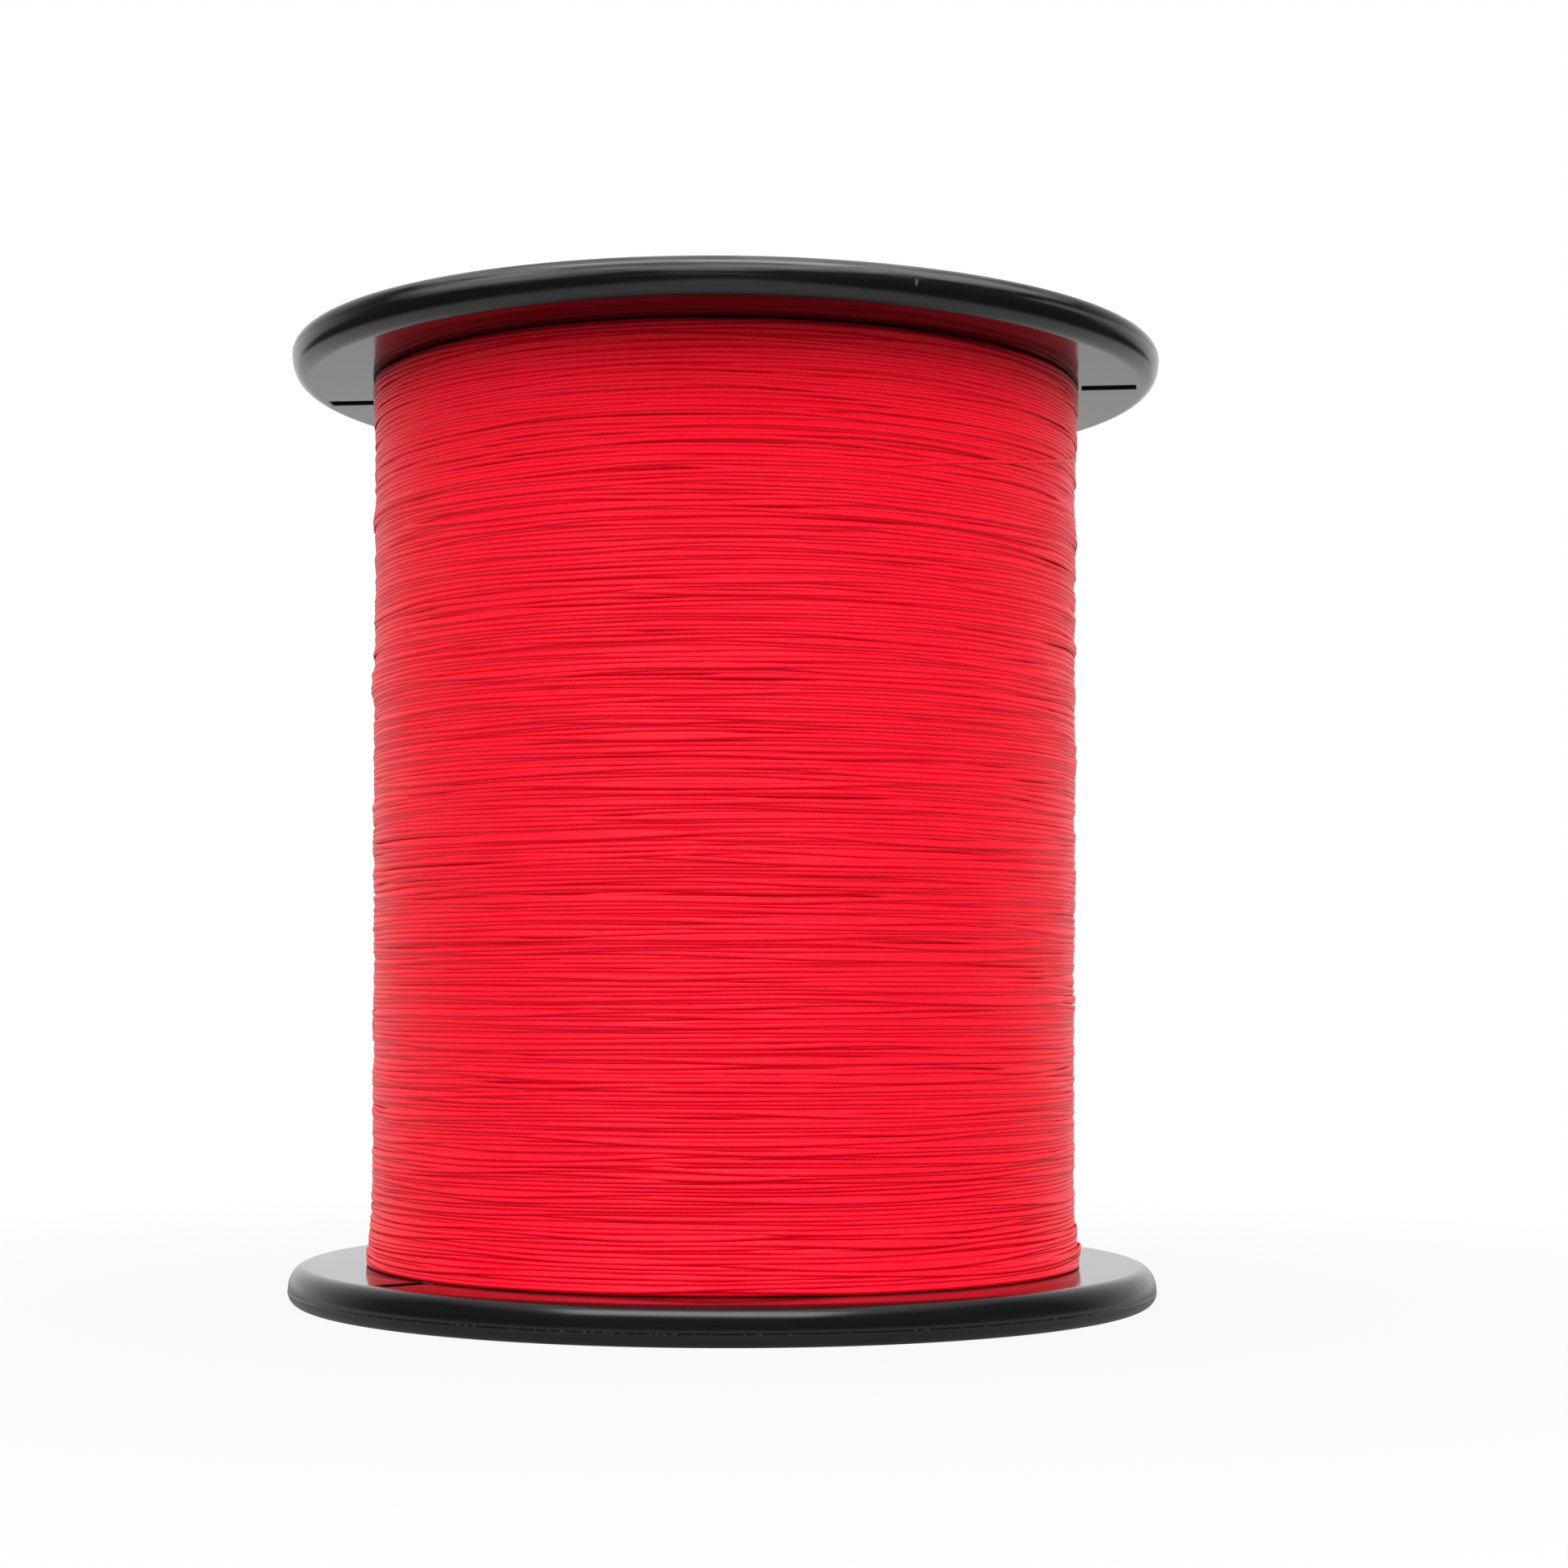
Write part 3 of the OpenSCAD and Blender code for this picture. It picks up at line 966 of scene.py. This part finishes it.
def rim_painted_sheen(r, place, height, out):
    """The streaks of painted sheen, on the upper half of the upper rim only."""
    sheen_band = r.spread(height, SHEEN_LOW, SHEEN_HIGH)
    sheen_noise = r.noise(r.stretched(place, SHEEN_SCALE), Scale=1.0, Detail=4.0)
    streaky_sheen = r.ramp(sheen_noise, (0.46, 0.03), (0.66, 0.7))
    edge = r.spread(out, SHEEN_FROM, RIM_TO)
    return r.math("MULTIPLY", r.math("MULTIPLY", sheen_band, streaky_sheen), edge)


print(f"haze from {SHEEN_LOW / MM:.1f} to {SHEEN_HIGH / MM:.1f} mm")

# %% [markdown]
# The plastic itself is nearly black. Noise varies its roughness, which also rises towards the rim's
# edge, and two bumps give it the waves and a fine grain. The worn spots and the nick, and the
# painted sheen on the upper rim, only lighten its colour.

# %% Glossy black plastic
RIM_FROM = 54.9 * MM
SCUFF_SCALE = (60, 60, 1800)
BLACK = (0.0035, 0.0035, 0.0038)
BLACK_WORN = (0.006, 0.006, 0.0065)
WEAR_AND_SHEEN_GREY = (0.16, 0.16, 0.16, 1)


def black_plastic():
    """Glossy black: scuffs and a duller rim in its roughness, waves and grain in its bumps."""
    r = Recipe("flange_plastic")
    r.set(IOR=1.52)
    place = r.place()
    x, y, height = r.split(place)
    out = from_axis(r, x, y)
    patches = r.noise(place, Scale=60, Detail=4.0)
    streaks = r.noise(r.stretched(place, SCUFF_SCALE), Scale=1.0, Detail=3.0)
    rough = r.math("ADD", r.math("MULTIPLY", patches, 0.06), r.math("MULTIPLY", streaks, 0.05))
    rim = r.spread(out, RIM_FROM, RIM_TO, 0.07, 0.15)
    r.link(r.math("ADD", rough, rim), r.shader.inputs["Roughness"])
    fine = r.noise(place, Scale=1400, Detail=2.0)
    wave = r.bump(r.noise(place, Scale=25, Detail=1.0), 0.15, 0.25 * MM)
    r.link(r.bump(fine, 0.05, 0.01 * MM, wave), r.shader.inputs["Normal"])
    wear_and_sheen = r.math("MAXIMUM", worn_seam(r, place, height), nicked(r, place))
    # Painted sheen: grey streaks on the top of the upper rim stand in for the light from above.
    wear_and_sheen = r.math("MAXIMUM", wear_and_sheen, rim_painted_sheen(r, place, height, out))
    grain = r.ramp(streaks, (0.3, BLACK), (0.8, BLACK_WORN))
    r.link(r.mixed(wear_and_sheen, grain, WEAR_AND_SHEEN_GREY), r.shader.inputs["Base Color"])
    return r.material


def matt_tube():
    r = Recipe("barrel_plastic")
    grain = r.noise(r.place(), Scale=1500, Detail=2.0)
    r.link(r.ramp(grain, (0.2, 0.4), (0.8, 0.65)), r.shader.inputs["Roughness"])
    r.link(r.ramp(grain, (0.3, 0.026), (0.7, 0.034)), r.shader.inputs["Base Color"])
    r.link(r.bump(grain, 0.1, 0.02 * MM), r.shader.inputs["Normal"])
    return r.material


plastic = black_plastic()
for piece in (lower_moulding, upper_moulding):
    piece.data.materials.clear()
    piece.data.materials.append(plastic)
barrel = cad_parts["barrel"]
barrel.data.materials.clear()
barrel.data.materials.append(matt_tube())
print("plastic dressed")

# %% [markdown]
# ## Stage and light
#
# The spool stands on a white table in front of white. Camera rays see the table as white, a little
# less so right round the foot, where the soft shadow shows. The lamps stay at a plain level, so the
# colours read as they are written.
#
# Glossy black shows nothing but what it mirrors, so the mirrored room matters: white behind and at
# the sides, a bright ceiling, and a dark room in front, where the white sheet on the table narrows
# to a wedge.

# %% The table
TABLE_SIZE = 12.0
# Two distances from the middle, in metres, and the brightness at each.
FOOT_SHADOW = (0.07, 0.2, 0.93, 1.0)
# Gloss sees the table darker right round the foot: partly its real shadow, partly painted shade, as
# less glow shows there.
FOOT_MIRRORED_SHADE = (0.055, 0.11, 0.2, 1.0)
# The same, but along Y less the slant times the distance to the side, which makes the wedge.
SHEET_FRONT = (-0.5, -0.36, 0.04, 0.75)
SHEET_SLANT = 1.67


def white_floor():
    """White for the camera, and for gloss a sheet that narrows to a wedge in front."""
    r = Recipe("white_table")
    r.set(Roughness=0.9, Specular_IOR_Level=0.0)
    path = r.node("ShaderNodeLightPath")
    place = r.place()
    x, y, _ = r.split(place)
    far = r.vector("LENGTH", place)
    paper = r.ramp(far, (0.25, 0.2), (0.5, 0.05))
    r.link(paper, r.shader.inputs["Base Color"])
    aside = r.math("MULTIPLY", r.math("ABSOLUTE", x), SHEET_SLANT)
    front = r.spread(r.math("SUBTRACT", y, aside), *SHEET_FRONT)
    glow = r.node("ShaderNodeEmission")
    strength = r.math("MAXIMUM", path.outputs["Is Camera Ray"], front)
    r.link(strength, glow.inputs["Strength"])
    seen = r.spread(far, *FOOT_SHADOW)
    mirrored = r.spread(far, *FOOT_MIRRORED_SHADE)
    share = r.math("MULTIPLY", path.outputs["Is Camera Ray"], seen)
    glossy = r.math("MULTIPLY", path.outputs["Is Glossy Ray"], mirrored)
    share = r.math("MAXIMUM", share, glossy)
    mix = r.node("ShaderNodeMixShader")
    r.link(share, mix.inputs[0])
    r.link(r.shader.outputs[0], mix.inputs[1])
    r.link(glow.outputs[0], mix.inputs[2])
    r.link(mix.outputs[0], r.tree.nodes["Material Output"].inputs["Surface"])
    return r.material


def make_floor():
    half = TABLE_SIZE / 2
    corners = [(-half, -half, 0), (half, -half, 0), (half, half, 0), (-half, half, 0)]
    floor = add_piece("table", mesh_of("table", corners, [(0, 1, 2, 3)]))
    floor.data.materials.append(white_floor())


make_floor()
print("table laid")

# %% [markdown]
# The world is the room round the table. It answers three kinds of rays in its own way: the camera
# sees plain white, gloss sees the walls and the ceiling, and everything else gets its light mostly
# from a bright band just above the horizon.

# %% The room round it
CEILING = 0.9
LOW_LIGHT = 2.0
HIGH_LIGHT = 0.6
# Two values of a direction's Y or Z, from -1 to 1, and the brightness or share at each.
WALLS = (0.22, 0.92, 0.03, 1.0)
CEILING_EDGE = (0.72, 0.92, 0.0, 1.0)
LOW_LIGHT_EDGE = (-0.1, 0.1, 0.3, LOW_LIGHT)
HIGH_LIGHT_EDGE = (0.35, 0.6, 0.0, 1.0)


def make_world():
    world = bpy.data.worlds.new("studio")
    bpy.context.scene.world = world
    world.use_nodes = True
    tree = world.node_tree
    back = tree.nodes["Background"]
    back.inputs["Color"].default_value = (1, 1, 1, 1)
    path = tree.nodes.new("ShaderNodeLightPath")
    place = tree.nodes.new("ShaderNodeTexCoord")
    split = tree.nodes.new("ShaderNodeSeparateXYZ")
    tree.links.new(place.outputs["Generated"], split.inputs[0])

    def spread(source, start, end, first, last):
        made = tree.nodes.new("ShaderNodeMapRange")
        values = (("From Min", start), ("From Max", end), ("To Min", first), ("To Max", last))
        for name, value in values:
            made.inputs[name].default_value = value
        tree.links.new(source, made.inputs["Value"])
        return made.outputs[0]

    def choose(share, low, high):
        made = tree.nodes.new("ShaderNodeMix")
        made.data_type = "FLOAT"
        for slot, value in ((0, share), (2, low), (3, high)):
            if isinstance(value, bpy.types.NodeSocket):
                tree.links.new(value, made.inputs[slot])
            else:
                made.inputs[slot].default_value = value
        return made.outputs[0]

    walls = spread(split.outputs["Y"], *WALLS)
    room = choose(spread(split.outputs["Z"], *CEILING_EDGE), walls, CEILING)
    low_light = spread(split.outputs["Z"], *LOW_LIGHT_EDGE)
    plain = choose(spread(split.outputs["Z"], *HIGH_LIGHT_EDGE), low_light, HIGH_LIGHT)
    mirrored = choose(path.outputs["Is Glossy Ray"], plain, room)
    seen = choose(path.outputs["Is Camera Ray"], mirrored, 1.0)
    tree.links.new(seen, back.inputs["Strength"])


make_world()
print("room made")

# %% [markdown]
# Three large soft boxes give the light its direction. The two in front stand low and light the
# wound line evenly. Gloss doesn't see them, since they would draw two bright patches on the rims.
# The one above is seen in gloss, and draws the soft streak along the top of each rim.

# %% Soft boxes


def soft_box(name, place, size, power, mirrored):
    """A rectangular lamp that faces the middle of the spool, seen in gloss only if mirrored."""
    data = bpy.data.lights.new(name, "AREA")
    data.shape = "RECTANGLE"
    data.size, data.size_y = size
    data.energy = power
    lamp = bpy.data.objects.new(name, data)
    lamp.location = place
    aim = Vector((0, 0, SPOOL_H / 2)) - Vector(place)
    lamp.rotation_mode = "QUATERNION"
    lamp.rotation_quaternion = aim.to_track_quat("-Z", "Y")
    lamp.visible_glossy = mirrored
    bpy.context.scene.collection.objects.link(lamp)


soft_box("main_light", (-0.95, -0.98, 0.9), (0.9, 0.9), 6.5, False)
soft_box("right_light", (0.95, -0.95, 0.9), (0.8, 0.8), 8, False)
soft_box("top_light", (-0.1, -0.55, 1.25), (1.3, 0.55), 9.5, True)
bpy.context.scene.view_settings.view_transform = "Standard"
print("stage lit")
